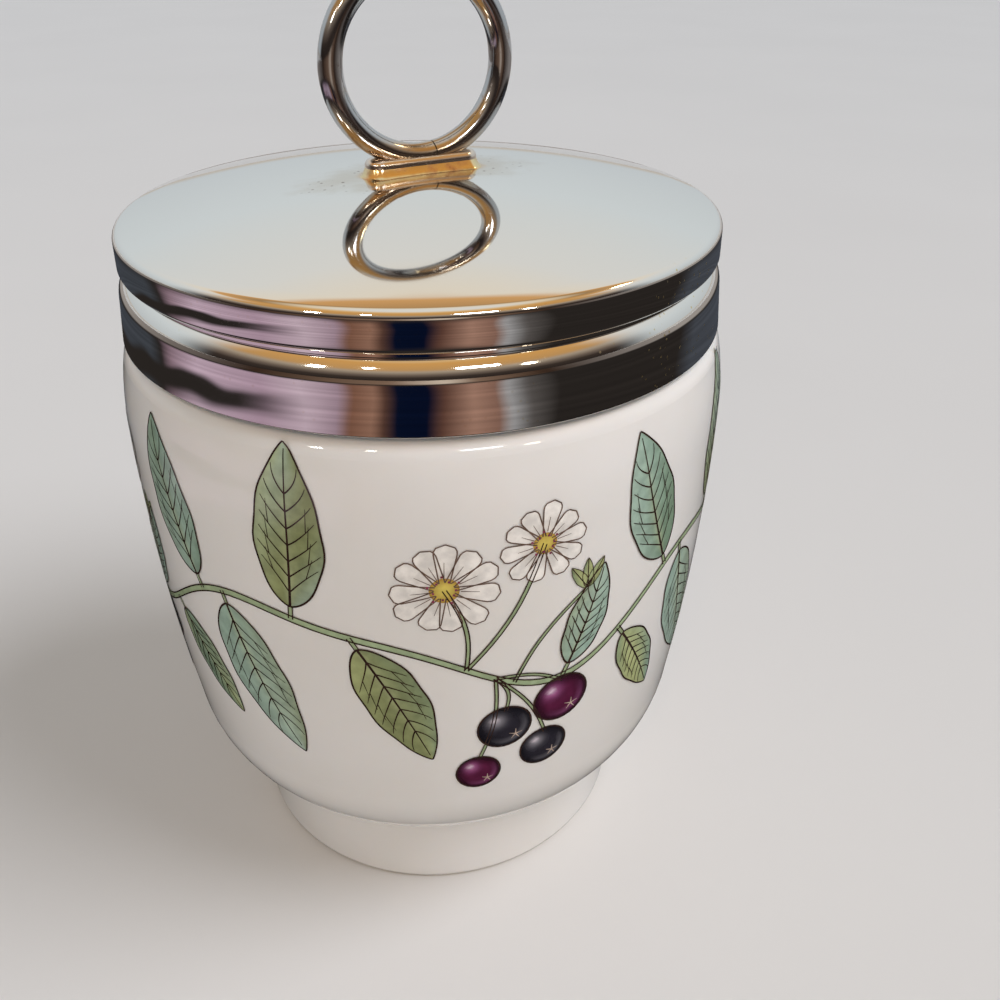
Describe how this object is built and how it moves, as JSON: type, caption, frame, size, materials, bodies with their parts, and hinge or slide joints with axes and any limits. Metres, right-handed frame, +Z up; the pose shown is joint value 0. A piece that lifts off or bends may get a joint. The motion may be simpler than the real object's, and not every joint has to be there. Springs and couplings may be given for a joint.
{
  "type": "egg coddler",
  "caption": "Porcelain cup on a round foot, with a screw-on plated metal lid in two bands and a standing wire ring to lift it by.",
  "frame": {"origin": "centre of the underside of the foot", "axes": "+Z up along the cup's axis; the lifting ring stands in the XZ plane, so +Y goes through the ring"},
  "size_m": [0.069, 0.069, 0.1056],
  "materials": {
    "porcelain": "white bone china under a clear gloss glaze",
    "lid_plating": "mirror-polished bright plating on pressed brass",
    "collar_metal": "rolled bright tinplate, unpolished",
    "washer": "matt off-white food-grade rubber",
    "ring_plating": "polished bright plating on brass wire",
    "braze": "smooth brass braze"
  },
  "bodies": {
    "cup": {"porcelain_cup": "porcelain"},
    "washer": {"sealing_washer": "washer"},
    "lid": {"lid_shell": "lid_plating", "lid_threaded_collar": "collar_metal", "lifting_ring": "ring_plating", "ring_saddle": "ring_plating", "braze_fillets": "braze"}
  },
  "joints": [
    {"name": "lid_rise", "type": "slide", "parent": "cup", "child": "washer", "axis": [0, 0, 1], "range_m": [0, 0.018]},
    {"name": "lid_turn", "type": "hinge", "parent": "washer", "child": "lid", "pos_m": [0, 0, 0.0725], "axis": [0, 0, 1], "range_deg": [0, 1440]}
  ],
  "couplings": [
    {"joint": "lid_rise", "follows": "lid_turn", "m_per_rad": 0.0007162}
  ]
}
